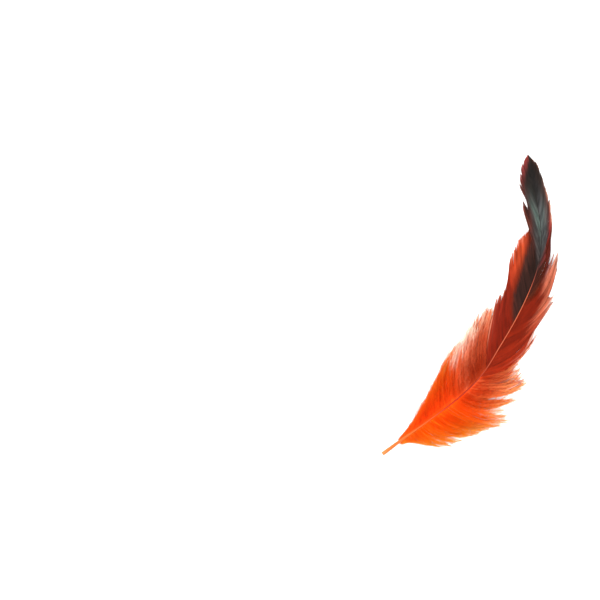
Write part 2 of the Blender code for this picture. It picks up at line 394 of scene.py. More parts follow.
LOWER_LEFT = (
    (10, 4, 28, 0.06, 0.8), (16, 9, 32, 0.08, 0.8), (21, 15, 37, 0.09, 0.7),
    (24, 19.5, 39, 0.09, 0.6), (27, 22.5, 41, 0.09, 0.6), (33, 27.5, 45, 0.09, 0.6),
    (44, 26.5, 44, 0.07, 0.6), (49, 32, 41, 0.06, 0.6), (54, 32.5, 37, 0.05, 0.5),
    (57, 29.8, 31.5, 0.04, 0.5), (60.2, 23.5, 26.5, 0.04, 0.5), (61.8, 30.5, 25.5, 0.03, 0.4),
    (66, 28.3, 25, 0.03, 0.4), (70.5, 25.4, 25, 0.03, 0.4), (75.5, 25.3, 27.5, 0.03, 0.4),
    (80, 26, 30.5, 0.025, 0.4), (84, 27.2, 32.4, 0.02, 0.4), (88, 27.6, 32.8, 0.02, 0.4),
    (92, 27, 32, 0.02, 0.5), (96, 27, 30.2, 0.025, 0.9), (100, 25.8, 28.8, 0.03, 1.4),
    (104, 23.5, 26.3, 0.03, 1.9), (108, 21.6, 22.5, 0.03, 2.5), (114, 17.6, 18, 0.03, 3.4),
)
# Each lock row: its first root's place in mm, the share of a barb's length at which it parts from
# the next, how far its tips draw together, how much shorter its outermost barbs are, and the lift
# of its middle in mm. The last row only ends the one before it.
LOCKS_RIGHT = (
    (50, 0.5, 0.5, 0.08, 0.3), (53, 0.5, 0.5, 0.1, 0.3), (55.6, 0.75, 0.4, 0.02, 0.1),
    (58, 0.8, 0.3, 0.02, 0.1), (61.4, 0.75, 0.4, 0.02, 0.1), (65, 0.8, 0.3, 0.03, 0.15),
    (71, 0.84, 0.25, 0.03, 0.15), (75.5, 0.8, 0.35, 0.03, 0.15), (80.7, 0.6, 0.35, 0.05, 0.15),
    (85, 0.7, 0.4, 0.04, 0.1), (91, 0.5, 0.6, 0.06, 0.05), (97.8, 0.4, 0.2, 0.02, 0),
    (104, 0.6, 0.3, 0.03, 0), (110, 0.6, 0.5, 0.04, 0),
)
LOCKS_LEFT = (
    (48, 0.5, 0.45, 0.1, 0.2), (53, 0.55, 0.5, 0.1, 0.2), (55.5, 0.55, 0.5, 0.08, 0.2),
    (60.9, 0.25, 0.5, 0.03, 0.35), (65.5, 0.7, 0.45, 0.04, 0.2), (70.5, 0.78, 0.4, 0.04, 0.15),
    (75.5, 0.8, 0.3, 0.03, 0.1), (81, 0.86, 0.12, 0.02, 0.1), (88, 0.9, 0.1, 0.02, 0.05),
    (94, 0.88, 0.1, 0.02, 0.05), (99, 0.86, 0.12, 0.02, 0.05), (103, 0.86, 0.15, 0.03, 0.05),
    (108, 0.9, 0.2, 0.02, 0.05), (115, 0.9, 0.2, 0.02, 0.05),
)
# In mm: how far the rows are evened out, how far beside a barb the combed surface is read for its
# slope, and the least height
COMB_SMOOTH = 0.4
BESIDE = 0.3
FLOOR_GAP = 0.05
# Where the down starts, is full, thins out and ends, in mm. From a share of its length on, a downy
# barb rests on its layer's level in mm, and from another share it falls to the end level.
DOWN_SPAN = (9, 20, 50, 66)
DOWN_RESTS_AT = 0.4
DOWN_FALLS_FROM = 0.5
DOWN_LEVEL = 1.2
DOWN_END_LEVEL = 0.9
# A root's place in its gap, and how uneven locks are in the down: their borders in mm and at
# most, and the shares that their clefts and draws may lose
ROOT_SPREAD = (0.3, 0.7)
LOOSE_BORDER = 0.4
LOOSE_MOST = 1.0
LOOSE_CLEFT = 0.35
LOOSE_DRAW = 0.6
# Tufts are small groups of barbs that cling together: their widths in mm, where on the barb they
# cling, their lengths and a middle one, how much more than its lock a tuft draws together and at
# most, and how much more uneven the lengths are in the down
TUFT_WIDTHS = (0.8, 2.4)
TUFT_CLEFTS = (0.72, 0.96)
TUFT_LENGTHS = (0.965, 1.01)
TUFT_LENGTH = 0.99
TUFT_DRAW = 2.0
TUFT_MOST = 0.6
TUFT_UNEVEN = 3.5
# How far in mm a lock laps over the one before it, where on the barb that is full and fades, how
# much higher its first edge lies than its middle, in mm and by its lift, and where lifts are full
LOCK_LAP = 0.9
LAP_FULL = 0.4
LAP_FADES = 0.6
SHINGLE = (0.04, 0.5)
LIFT_FULL = 0.4
# How late a lock's outer barbs get shorter, and how uneven the lengths of its barbs are
TOOTH_CURVE = 2.5
LENGTH_SPREAD = 0.012
# Single barbs that leave their lock, and the sway of the down, in mm at their ends. Locks that
# hardly draw together hold their strays back.
STRAY_SHARE = 0.04
STRAY_SWAY = 1.2
STRAY_FREED = 3.0
DOWN_SWAY = 0.8
SWAY_FROM = 0.35
# How far in mm a downy barb's end lies off its place, on the left, 1, and the right, -1, drawn
# from a seed of its own
DOWN_ASTRAY = {1: 0.9, -1: 0.3}
ASTRAY_SEED = 500
ASTRAY_CURVE = 1.5
# How uneven the heights are in mm, from which share of the length, and the tones
VANE_UNEVEN = 0.02
DOWN_UNEVEN = 0.22
UNEVEN_FULL = 0.2
BARB_TONE = 0.55
LOCK_TONE = 0.5
TUFT_TONE = 0.5
# Place along the shaft in mm, and how much of a barb's length comes or goes there by fraying
NEAT = ((0, 0.0),)
FRAY_VANE_LEFT = ((50, 0.1), (60, 0.1), (62, 0.03), (108, 0.03), (111, 0.0))
FRAY_VANE_RIGHT = ((50, 0.08), (75, 0.1), (97, 0.12), (98, 0.01), (110, 0.01))
FRAY_LONGER = 0.3
FRAY_CURVE = 1.5
# A blade's width beside the gap that it fills, its ridge and its slant as shares of half its
# width, the lower ridge as a share of the upper, and its least and greatest half width in mm
BLADE_LAP = 1.16
BLADE_RIDGE = 0.42
BLADE_TURN = 0.2
BLADE_KEEL = 0.7
LEAST_HALF = 0.035
VANE_WIDEST = ((0.0, 0.3), (0.7, 0.36), (0.9, 0.26), (1.0, 0.06))
# On the flat map of the colours: half of a blade's strip, and the margin at its ends
CHART_HALF = 0.45
CHART_MARGIN = 0.01
# The dark middle of the vane: place along the shaft and its width from there in mm
CORE_LEFT = (
    (83, -1.5), (86, 1), (92, 4.3), (96, 5.5), (107, 6.2), (115, 6.2), (121, 5.3), (126, 3.5),
)
CORE_RIGHT = (
    (90, -3.5), (94, -1), (97, 1.2), (99, 2.6), (102, 3.2), (108, 3.4), (112, 3.4), (118, 2.4),
    (126, 1.4),
)


def ease(value, low, high):
    """A soft step: 0 where the value is at low or under, and 1 at high or over."""
    share = np.clip((value - low) / (high - low), 0.0, 1.0)
    return share * share * (3.0 - 2.0 * share)


def mix(first, second, share):
    return first + (second - first) * share


def down_share(place):
    """How downy the feather is at a place along the shaft, from 0 to 1."""
    starts, full, thins, ends = DOWN_SPAN
    return ease(place, starts, full) * (1.0 - ease(place, thins, ends))


def comb(rows, place):
    """Length, lean, bow and end height of the barb at a place, from its side's table."""
    spread = place[..., None] + COMB_SMOOTH * np.array([-1.0, 0.0, 1.0])
    return [read(rows, spread, column).mean(axis=-1) for column in range(1, 5)]


def lay(rows, hand, place, reach, level):
    """Points in mm on a side's combed surface, by root place and share of a barb's length.

    level is the height that the downy barbs of this layer keep until they fall to their ends.
    """
    length, lean, bow, low = comb(rows, place)
    angle = line.heading(place) + hand * np.radians(lean)
    along = np.stack([np.cos(angle), np.sin(angle), np.zeros_like(angle)], -1)
    across = hand * np.stack([-np.sin(angle), np.cos(angle), np.zeros_like(angle)], -1)
    bowed = bow * length * 4.0 * reach * (1.0 - reach)
    point = line.point(place)
    rise = point[..., 2]
    point = point + along * (length * reach)[..., None] + across * bowed[..., None]
    downy = down_share(place)
    fallen = mix(level, DOWN_END_LEVEL, ease(reach, DOWN_FALLS_FROM, 1.0))
    low = mix(low, fallen, downy)
    point[..., 2] = mix(rise, low, ease(reach, 0.0, mix(1.0, DOWN_RESTS_AT, downy)))
    return point


def in_groups(source, roots, widths):
    """The middle and the number of the random group that each root falls in."""
    borders = np.cumsum(source.uniform(*widths, size=int(np.ptp(roots) / widths[0]) + 3))
    borders = np.concatenate([[0.0], borders]) + roots[0] - widths[1] * source.random()
    found = np.searchsorted(borders, roots, side="right") - 1
    return (borders[found] + borders[found + 1]) / 2, found


def loosened(source, locks):
    """A side's table of locks, less even where the feather is downy."""
    table = np.array(locks, float)
    loose = down_share(table[1:-1, 0])
    shift = np.clip(source.normal(0.0, LOOSE_BORDER, len(loose)), -LOOSE_MOST, LOOSE_MOST)
    table[1:-1, 0] += shift * loose
    table[1:-1, 1] *= 1.0 - LOOSE_CLEFT * source.random(len(loose)) * loose
    table[1:-1, 2] *= 1.0 - LOOSE_DRAW * source.random(len(loose)) * loose
    return table


def unit(vectors):
    return vectors / np.linalg.norm(vectors, axis=-1, keepdims=True)


def square(way, run):
    """The part of a way that is square to the run."""
    return way - run * (way * run).sum(-1, keepdims=True)


class Groomed:
    """The barbs of one side, combed into locks and tufts, as lines of points in mm.

    At each point, run is the way along the barb, across the way to the barb after it on the
    combed surface, and normal the way out of that surface. out is the share of the barb's length
    and reached the mm along it. lock is a barb's lock, and aside its place in it, from -1 to 1.
    """

    def __init__(self, rows, hand, locks, span, gap, seed, level=DOWN_LEVEL, fray=NEAT):
        source = np.random.default_rng(seed)
        count = int((span[1] - span[0]) / gap)
        roots = span[0] + (np.arange(count) + source.uniform(*ROOT_SPREAD, count)) * gap
        downy = down_share(roots)
        table = loosened(source, locks)
        lock = np.clip(np.searchsorted(table[:, 0], roots, side="right") - 1, 0, len(table) - 2)
        starts, ends = table[lock, 0], table[lock + 1, 0]
        cleft, draw, tooth, lift = (table[lock, column][:, None] for column in range(1, 5))
        middle = (starts + ends) / 2
        self.aside = (roots - middle) / ((ends - starts) / 2)
        aside = self.aside[:, None]
        tuft, number = in_groups(source, roots, TUFT_WIDTHS)
        tufts = number.max() + 1
        clings = source.uniform(*TUFT_CLEFTS, tufts)[number][:, None]
        longer = source.uniform(*TUFT_LENGTHS, tufts)[number] - TUFT_LENGTH
        t = np.linspace(0.0, 1.0, BARB_STEPS + 1)[None, :]
        drawn = draw * ease(t, cleft, 1.0)
        tufted = np.minimum(TUFT_MOST, draw * TUFT_DRAW) * ease(t, clings, 1.0)
        lapped = LOCK_LAP * ((1.0 - aside) / 2) ** 2
        lapped = lapped * ease(t, 0.0, LAP_FULL) * (1.0 - ease(t, LAP_FADES, 1.0))
        place = roots[:, None] + (middle - tuft)[:, None] * drawn
        place = place + (tuft - roots)[:, None] * tufted - lapped
        stray = source.random(count) < STRAY_SHARE
        freed = np.minimum(1.0, draw[:, 0] * STRAY_FREED)
        sway = source.normal(0.0, STRAY_SWAY, count) * stray * freed
        sway = sway + source.normal(0.0, DOWN_SWAY, count) * downy
        place = place + sway[:, None] * ease(t, SWAY_FROM, 1.0)
        shrink = 1.0 - tooth * np.abs(aside) ** TOOTH_CURVE
        lengths = source.normal(1.0, LENGTH_SPREAD, count)
        lengths = lengths * (1.0 + longer * mix(1.0, TUFT_UNEVEN, downy))
        frayed = FRAY_LONGER - source.random(count) ** FRAY_CURVE
        lengths = lengths * (1.0 + read(fray, roots) * frayed)
        reach = t * shrink * lengths[:, None]
        self.points = lay(rows, hand, place, reach, level)
        ahead = unit(self.points[:, -1, :2] - self.points[:, 0, :2])
        sideways = np.stack([-ahead[:, 1], ahead[:, 0]], -1)
        own_source = np.random.default_rng(seed + ASTRAY_SEED)
        astray = own_source.normal(0.0, DOWN_ASTRAY[hand], count) * downy
        self.points[..., :2] += (sideways * astray[:, None])[:, None, :] * t.T ** ASTRAY_CURVE
        shingle = SHINGLE[0] + SHINGLE[1] * lift
        self.points[..., 2] += (lift - shingle * aside) * ease(t, 0.0, LIFT_FULL)
        uneven = source.normal(0.0, mix(VANE_UNEVEN, DOWN_UNEVEN, downy))
        self.points[..., 2] += uneven[:, None] * ease(t, 0.0, UNEVEN_FULL)
        self.points[..., 2] = np.maximum(self.points[..., 2], FLOOR_GAP)
        self.hand, self.roots, self.lock = hand, roots, lock
        self.out = np.broadcast_to(t, reach.shape)
        self.tone = source.normal(0.0, BARB_TONE, count)
        self.tone = self.tone + source.normal(0.0, LOCK_TONE, lock.max() + 1)[lock]
        self.tone = self.tone + source.normal(0.0, TUFT_TONE, tufts)[number]
        steps = np.gradient(self.points, axis=1)
        self.run = unit(steps)
        self.reached = np.cumsum(np.linalg.norm(steps, axis=-1), axis=1)
        beside = lay(rows, hand, place + BESIDE, reach, level)
        beside = beside - lay(rows, hand, place - BESIDE, reach, level)
        self.across = unit(square(beside, self.run))
        self.normal = hand * np.cross(self.across, self.run)


def joined_mesh(name, places, faces, numbers, spots):
    """One mesh of many small ones. Each point has named numbers and a spot on the flat map."""
    mesh = bpy.data.meshes.new(name)
    mesh.from_pydata((places * MM).tolist(), [], [face for kind in faces for face in kind.tolist()])
    for label, values in numbers.items():
        layer = mesh.attributes.new(label, "FLOAT", "POINT")
        layer.data.foreach_set("value", np.ascontiguousarray(values, np.float32).ravel())
    corners = np.empty(len(mesh.loops), np.int32)
    mesh.loops.foreach_get("vertex_index", corners)
    chart = mesh.uv_layers.new(name="OFBake")
    chart.data.foreach_set("uv", spots[corners].astype(np.float32).ravel())
    mesh.shade_smooth()
    return mesh


def half_way(gap, run, aside, held, limit):
    """The line from each barb to its blade's edge, half-way over the gap to the barb beside it.

    aside is the way to that side on the combed surface, and held is true where both barbs are of
    one lock. There the edge follows the other barb's height too, so that the vane stays closed.
    """
    gap = square(gap, run) / 2 * BLADE_LAP
    away = (gap * aside).sum(-1)
    free = aside * np.clip(away, LEAST_HALF, limit)[..., None]
    close = held[:, None] & (away > LEAST_HALF) & (np.linalg.norm(gap, axis=-1) < limit)
    return np.where(close[..., None], gap, free)


def blades(name, barbs, widest, core=None):
    """Each barb as a thin blade with a ridge along both faces, as wide as the gap beside it."""
    points, run, across = barbs.points, barbs.run, barbs.across
    count, steps = points.shape[:2]
    gaps = points[1:] - points[:-1]
    gaps = np.concatenate([gaps[:1], gaps, gaps[-1:]])
    held = np.concatenate([[False], barbs.lock[1:] == barbs.lock[:-1], [False]])
    limit = read(widest, barbs.out)
    before = half_way(-gaps[:-1], run, -across, held[:-1], limit)
    after = half_way(gaps[1:], run, across, held[1:], limit)
    half = np.linalg.norm(after - before, axis=-1, keepdims=True) / 2
    ridge = BLADE_RIDGE * half * barbs.normal
    turned = BLADE_TURN * half * barbs.normal
    first_edge, last_edge = points + before + turned, points + after - turned
    corners = [first_edge, points + ridge, last_edge, points - ridge * BLADE_KEEL]
    corners = np.stack(corners, axis=2)
    corners[..., 2] = np.maximum(corners[..., 2], FLOOR_GAP / 2)
    around = np.arange(4)[:: barbs.hand]
    next_one = np.roll(around, -1)
    first = (np.arange(count)[:, None] * steps + np.arange(steps - 1))[..., None] * 4
    faces = [first + around, first + next_one, first + 4 + next_one, first + 4 + around]
    faces = np.stack(faces, axis=-1).reshape(-1, 4)
    start = np.arange(count)[:, None] * steps * 4
    ends = np.vstack([start + around[::-1], start + (steps - 1) * 4 + around])
    sides = np.broadcast_to([-1.0, 0.0, 1.0, 0.0], (count, steps, 4))
    out = np.broadcast_to(barbs.out[..., None], sides.shape)
    numbers = {"root": barbs.roots[:, None, None], "tone": barbs.tone[:, None, None], "out": out}
    if core:
        places, away = line.nearest(points)
        numbers["reach"] = barbs.reached[..., None]
        numbers["aside"] = barbs.aside[:, None, None]
        numbers["core"] = (read(core, places) - away)[..., None]
        numbers["across"] = sides
    numbers = {label: np.broadcast_to(values, sides.shape) for label, values in numbers.items()}
    strip = (np.arange(count)[:, None, None] + 0.5 + CHART_HALF * sides) / count
    height = CHART_MARGIN + (1.0 - 2 * CHART_MARGIN) * out
    spots = np.stack([strip, height], axis=-1).reshape(-1, 2)
    return joined_mesh(name, corners.reshape(-1, 3), [faces, ends], numbers, spots)


class Dye(NamedTuple):
    """How a vane is dyed. Its lists are colour stops by root place.

    inner and outer are the colours near the shaft and far out, and outward is where on a barb one
    gives way to the other. dark and dark_out are the same for the dark middle, with a painted sheen
    on the tip, and rim is the colour round it. ends is the colour of the barbs' ends, the shares of
    their length where it starts and is full, and its strength. It stops at the root place
    ends_until, and is on the locks' first edges too, by edge, up to edge_until. parting is the
    strength of a painted shadow on those edges further up. streak, patchy and uneven are the shades
    of streaks, patches and single barbs, and glow is the share of the light that comes through.
    """

    inner: list
    outer: list
    rim: tuple
    dark: list
    dark_out: list
    ends: tuple
    ends_until: float = 200.0
    outward: tuple = (0.2, 0.75)
    edge: float = 0.0
    edge_until: float = 70.0
    streak: float = 1.1
    patchy: float = 1.1
    uneven: float = 0.1
    parting: float = 0.0
    roughness: float = 0.65
    glow: float = 0.25
    specular: float = 0.06


GLOW_COLOUR = (1.0, 0.2, 0.05, 1.0)


def let_through(flow, share):
    """Lets a share of the light through the barbs, as their thin horn does."""
    through = flow.node("ShaderNodeBsdfTranslucent", values={"Color": GLOW_COLOUR})
    surface = Flow(flow.tree, flow.tree.nodes["Principled BSDF"].outputs[0])
    lit = flow.node("ShaderNodeMixShader", values={0: share, 1: surface, 2: through})
    flow.tree.links.new(lit.socket, flow.tree.nodes["Material Output"].inputs["Surface"])


def grain(across, along, fineness):
    """A noise from -0.5 to 0.5 that changes with two values, as fast with each as it is told."""
    by_across, by_along, detail = fineness
    spot = across.node("ShaderNodeCombineXYZ", values={0: across * by_across, 1: along * by_along})
    values = {"Vector": spot, "Scale": 1.0, "Detail": detail}
    return across.node("ShaderNodeTexNoise", values=values) - 0.5


def shaded(colour, shade):
    """A colour made lighter or darker by a number."""
    grey = shade.node("ShaderNodeCombineColor", values={0: shade, 1: shade, 2: shade})
    return shade.blend(colour, grey, 1.0, "MULTIPLY")


# Streaks and patches go by root place and mm along the barb. Patches shift the colours by so many
# mm along the shaft, and streaks make a border between two colours ragged by so much.
STREAK_GRAIN = (0.9, 0.07, 5.0)
PATCH_GRAIN = (0.35, 0.16, 3.0)
COLOUR_SHIFT = 5.0
OUTWARD_RAGGED = 0.5
ENDS_RAGGED = 0.35
ENDS_UNEVEN = 0.02
ENDS_STOP_OVER = 3.0
# The pale first edge of a lock: where it is across the lock and along the barb
EDGE_ASIDE = (0.7, 1.0)
EDGE_OUT = (0.25, 0.6)
EDGE_RAGGED = 0.5
EDGE_STOPS_OVER = 8.0
# The borders of the dark middle and of its rim, in mm from its edge inwards
CORE_BORDER = (-0.9, 0.9)
CORE_RAGGED = 2.6
CORE_UNEVEN = 0.25
RIM_BORDER = (-2.6, 0.2)
RIM_RAGGED = 2.0
RIM_SHARE = 0.75
DARK_OUTWARD = (0.2, 0.7)
DARK_RAGGED = 0.8
# Painted shadow in the parting before a lock, from a root place on, and on the lock's last edge,
# which lies under the next lock
PARTING_ASIDE = (0.72, 0.95)
PARTING_OUT = (0.3, 0.6)
PARTING_RAGGED = 0.3
PARTING_FROM = (74.0, 78.0)
LAST_EDGE = (0.4, 1.0)
LAST_EDGE_SHADOW = 0.3
# Rows of hooks on a barb, and their slant across it
HOOK_ROWS = 46.0
HOOK_SLANT = 5.0
HOOK_BUMP = {"Strength": 0.25, "Distance": 0.00003}


def dyed_material(name, dye):
    """The dyed barbs: colours by root place, a dark middle, paler ends and streaks along them."""
    material, inputs = bare_material(name)
    flow = Flow(material.node_tree)
    carried = ("root", "reach", "out", "tone", "aside", "across", "core")
    root, reach, out, tone, aside, across, core = (flow.attribute(label) for label in carried)
    streaks = grain(root, reach, STREAK_GRAIN)
    patches = grain(root, reach, PATCH_GRAIN)
    place = (root + patches * COLOUR_SHIFT) * (1.0 / line.length)
    outward = (out + streaks * OUTWARD_RAGGED).between(*dye.outward)
    base = flow.blend(place.ramp(dye.inner), place.ramp(dye.outer), outward)
    end_colour, end_from, end_to, end_share = dye.ends
    faded = (out + streaks * ENDS_RAGGED + tone * ENDS_UNEVEN).between(end_from, end_to)
    faded = faded * (1.0 - root.between(dye.ends_until - ENDS_STOP_OVER, dye.ends_until))
    base = flow.blend(base, end_colour, faded * end_share)
    edge = (streaks * EDGE_RAGGED - aside).between(*EDGE_ASIDE) * out.between(*EDGE_OUT)
    edge = edge * (1.0 - root.between(dye.edge_until - EDGE_STOPS_OVER, dye.edge_until))
    base = flow.blend(base, end_colour, edge * dye.edge)
    rim = (core + streaks * RIM_RAGGED).between(*RIM_BORDER)
    base = flow.blend(base, dye.rim, rim * RIM_SHARE)
    dark_outward = (out + streaks * DARK_RAGGED).between(*DARK_OUTWARD)
    dark = flow.blend(place.ramp(dye.dark), place.ramp(dye.dark_out), dark_outward)
    darkened = (core + streaks * CORE_RAGGED + tone * CORE_UNEVEN).between(*CORE_BORDER)
    base = flow.blend(base, dark, darkened)
    parting = (streaks * PARTING_RAGGED - aside).between(*PARTING_ASIDE)
    parting = parting * out.between(*PARTING_OUT) * root.between(*PARTING_FROM) * dye.parting
    # The barbs' own uneven tone, less the painted shadows in the partings and on the lapped last
    # edges
    shade = 1.0 + tone * dye.uneven + streaks * dye.streak + patches * dye.patchy - parting
    shade = shade - aside.between(*LAST_EDGE) * LAST_EDGE_SHADOW
    slanted = reach * HOOK_ROWS + across * across * HOOK_SLANT
    hooks = flow.node("ShaderNodeMath", {"operation": "SINE"}, {0: slanted})
    bump = flow.node("ShaderNodeBump", values={**HOOK_BUMP, "Height": hooks})
    coat(inputs, shaded(base, shade), dye.roughness, dye.specular, bump)
    if dye.glow:
        let_through(flow, (1.0 - darkened) * dye.glow)
    return material


# Place along the shaft and colour, near the shaft and out at the ends
LEFT_INNER = along_shaft(
    (42, 225, 64, 16), (50, 205, 64, 28), (57, 180, 56, 26), (62, 156, 41, 19), (76, 152, 40, 18),
    (92, 142, 37, 18), (100, 140, 45, 22), (108, 150, 56, 30),
)
# Past 104 mm the outer colour darkens into a painted shadow of the tip's left vane, which laps over
LEFT_OUTER = along_shaft(
    (46, 252, 170, 140), (53, 250, 130, 88), (59, 246, 108, 66), (63, 206, 72, 48),
    (68, 170, 50, 32), (76, 164, 48, 26), (83, 160, 46, 26), (88, 212, 74, 40), (100, 234, 94, 50),
    (104, 200, 78, 46), (107, 140, 56, 38), (112, 100, 42, 32),
)
RIGHT_INNER = along_shaft(
    (45, 238, 68, 20), (53, 226, 66, 26), (58, 202, 57, 23), (64, 168, 46, 18), (70, 158, 43, 16),
    (88, 156, 42, 16), (96, 134, 40, 16), (100, 84, 38, 26), (108, 64, 34, 28),
)
RIGHT_OUTER = along_shaft(
    (46, 246, 108, 62), (52, 252, 124, 78), (56, 226, 88, 54), (58.5, 196, 66, 38),
    (64, 172, 54, 30), (71, 214, 94, 62), (77, 244, 128, 94), (84, 248, 140, 104),
    (93, 246, 146, 116), (94.5, 240, 184, 178), (96.7, 214, 146, 142), (97.9, 116, 52, 48),
    (100, 70, 34, 30), (104, 84, 40, 36), (107, 150, 56, 52), (110, 176, 62, 60),
)
LEFT_DYE = Dye(
    inner=LEFT_INNER,
    outer=LEFT_OUTER,
    rim=seen(112, 40, 22),
    dark=along_shaft((84, 84, 40, 32), (92, 60, 34, 28), (112, 44, 26, 20)),
    dark_out=along_shaft((84, 92, 44, 36), (96, 76, 42, 34), (112, 84, 44, 36)),
    ends=(seen(252, 160, 130), 0.86, 1.04, 0.75),
    ends_until=103.0,
    edge=0.85,
    edge_until=69.0,
)
RIGHT_DYE = Dye(
    inner=RIGHT_INNER,
    outer=RIGHT_OUTER,
    rim=seen(112, 38, 14),
    dark=along_shaft((94, 104, 40, 18), (99, 78, 34, 22), (112, 60, 32, 26)),
    dark_out=along_shaft((94, 110, 40, 14), (99, 84, 36, 22), (112, 66, 36, 30)),
    ends=(seen(255, 200, 176), 0.78, 1.0, 0.9),
    ends_until=99.5,
    outward=(0.38, 0.72),
    edge=0.6,
    edge_until=63.0,
    parting=0.55,
)

for side, hand, rows, locks, span, fray, core, dye, seed in (
    ("left", 1, LOWER_LEFT, LOCKS_LEFT, LEFT_SPAN, FRAY_VANE_LEFT, CORE_LEFT, LEFT_DYE, 11),
    ("right", -1, LOWER_RIGHT, LOCKS_RIGHT, RIGHT_SPAN, FRAY_VANE_RIGHT, CORE_RIGHT, RIGHT_DYE, 12),
):
    name = "vane_lower_" + side
    barbs = Groomed(rows, hand, locks, span, BARB_GAP, seed, fray=fray)
    fit(name, blades(name, barbs, VANE_WIDEST, core), dyed_material("rust_" + side, dye))

# Vanes past the roll, upper side up.
# They are glossy and black, with a green sheen painted into their colour, and crimson where the dye
# took. The left one comes over the top of the roll and laps the vane below it, and the right one
# comes out from under it.
UPPER_RIGHT = (
    (112, 20, 5, 0.07, 3.2), (118, 19.5, 6, 0.05, 2.9), (124, 19.5, 12, 0.03, 2.4),
    (130, 19, 12, 0.03, 1.8), (138, 16.5, 15, 0.03, 1.2), (146, 13.5, 12, 0.04, 0.8),
    (156, 6, 8, 0.05, 0.6), (162, 1.4, 8, 0.05, 0.6),
)
UPPER_LEFT = (
    (110, 8.2, 20, 0, 5.4), (111, 11.8, 20.5, 0, 5.3), (112, 15.2, 25, 0, 5.2),
    (113, 18.3, 28.5, 0, 5.1), (114, 21, 30, 0, 4.9), (115, 22.6, 30, 0, 4.7),
    (116.5, 24, 29.3, 0, 4.5), (118.8, 24.4, 26.3, -0.01, 4.2), (119.4, 22.4, 22.4, -0.02, 4),
    (121, 23.4, 22, -0.03, 3.8), (122.5, 23.8, 21.5, -0.03, 3.5), (126, 24, 20.6, -0.03, 2.8),
    (130, 22.5, 19.6, -0.02, 2.2), (135, 20, 16.8, 0, 1.6), (140, 18.2, 14, 0.01, 1.2),
    (146, 14, 14.5, 0.03, 0.8), (150, 11, 14, 0.04, 0.7), (156, 6.5, 9, 0.05, 0.6),
    (162, 1.6, 5, 0.04, 0.6),
)
LOCKS_TIP_RIGHT = (
    (109, 0.8, 0.3, 0.03, 0), (114, 0.85, 0.3, 0.03, 0.05), (119, 0.88, 0.3, 0.03, 0.05),
    (125, 0.9, 0.3, 0.02, 0.05), (132, 0.9, 0.3, 0.02, 0.05), (140, 0.92, 0.3, 0.02, 0.05),
    (150, 0.95, 0.2, 0.02, 0), (164, 0.95, 0.2, 0.02, 0),
)
LOCKS_TIP_LEFT = (
    (109, 0.8, 0.2, 0, 0.1), (113, 0.7, 0.15, 0.01, 0.1), (119.2, 0.8, 0.1, 0, 0.1),
    (123.5, 0.8, 0.2, 0.02, 0.05), (130, 0.9, 0.3, 0.02, 0.05), (138, 0.92, 0.3, 0.02, 0.05),
    (148, 0.95, 0.2, 0.02, 0), (164, 0.95, 0.2, 0.02, 0),
)
UPPER_SPAN = (109.5, 162.6)
TIP_GAP = 0.24
CORE_TIP_RIGHT = (
    (110, 0.2), (116, 0.9), (121, 2), (126, 3), (130, 3.4), (136, 4.3), (153, 4.3), (158, 3),
    (162, 1.2), (164, 0.5),
)
CORE_TIP_LEFT = (
    (110, 3), (118, 2.6), (128, 3.6), (135, 3.9), (144, 4.5), (149, 4.3), (153, 3.4), (158, 1.2),
    (161, -0.5), (164, -1.5),
)
TIP_WIDEST = ((0.8, 0.3), (0.95, 0.18), (1.0, 0.07))
# Colours of the tip's black middle, with a green-grey sheen painted in from about 114 to 143 mm
TIP_DARK_PAINTED_SHEEN = along_shaft(
    (108, 44, 30, 26), (114, 60, 48, 46), (120, 80, 78, 76), (130, 100, 118, 110),
    (137, 80, 84, 80), (143, 46, 44, 40), (152, 36, 31, 29), (164, 42, 30, 26),
)
TIP_DARK_OUT_PAINTED_SHEEN = along_shaft(
    (108, 42, 28, 24), (116, 68, 48, 46), (126, 88, 78, 74), (134, 64, 50, 46), (142, 46, 34, 30),
    (164, 48, 32, 26),
)
TIP_DARK_RIGHT_PAINTED_SHEEN = along_shaft(
    (108, 44, 30, 26), (114, 56, 46, 44), (120, 76, 74, 74), (130, 92, 100, 97), (137, 76, 76, 76),
    (143, 46, 43, 42), (152, 36, 31, 29), (164, 42, 30, 26),
)
LEFT_CRIMSON = along_shaft(
    (108, 70, 36, 26), (116, 96, 46, 34), (126, 118, 58, 44), (134, 112, 42, 36),
    (144, 142, 58, 56), (164, 160, 58, 54),
)
RIGHT_CRIMSON = along_shaft(
    (108, 120, 46, 42), (118, 196, 66, 54), (126, 130, 62, 54), (140, 96, 56, 46),
    (164, 120, 60, 46),
)
# Strong streaks and patches break the painted sheen into streaks along the barbs
TIP_LEFT_DYE = Dye(
    inner=LEFT_CRIMSON,
    outer=LEFT_CRIMSON,
    rim=seen(84, 42, 38),
    dark=TIP_DARK_PAINTED_SHEEN,
    dark_out=TIP_DARK_OUT_PAINTED_SHEEN,
    ends=(seen(196, 110, 100), 0.9, 1.05, 0.6),
    streak=1.8,
    patchy=2.4,
    uneven=0.2,
    roughness=0.5,
    glow=0.0,
    specular=0.08,
)
TIP_RIGHT_DYE = TIP_LEFT_DYE._replace(
    inner=RIGHT_CRIMSON,
    outer=RIGHT_CRIMSON,
    dark=TIP_DARK_RIGHT_PAINTED_SHEEN,
    ends=(seen(246, 172, 142), 0.76, 0.98, 0.95),
)

for name, hand, rows, locks, core, dye, seed in (
    ("vane_tip_right", -1, UPPER_RIGHT, LOCKS_TIP_RIGHT, CORE_TIP_RIGHT, TIP_RIGHT_DYE, 22),
    ("vane_tip_left", 1, UPPER_LEFT, LOCKS_TIP_LEFT, CORE_TIP_LEFT, TIP_LEFT_DYE, 21),
):
    barbs = Groomed(rows, hand, locks, UPPER_SPAN, TIP_GAP, seed)
    fit(name, blades(name, barbs, TIP_WIDEST, core), dyed_material("gloss_" + name, dye))

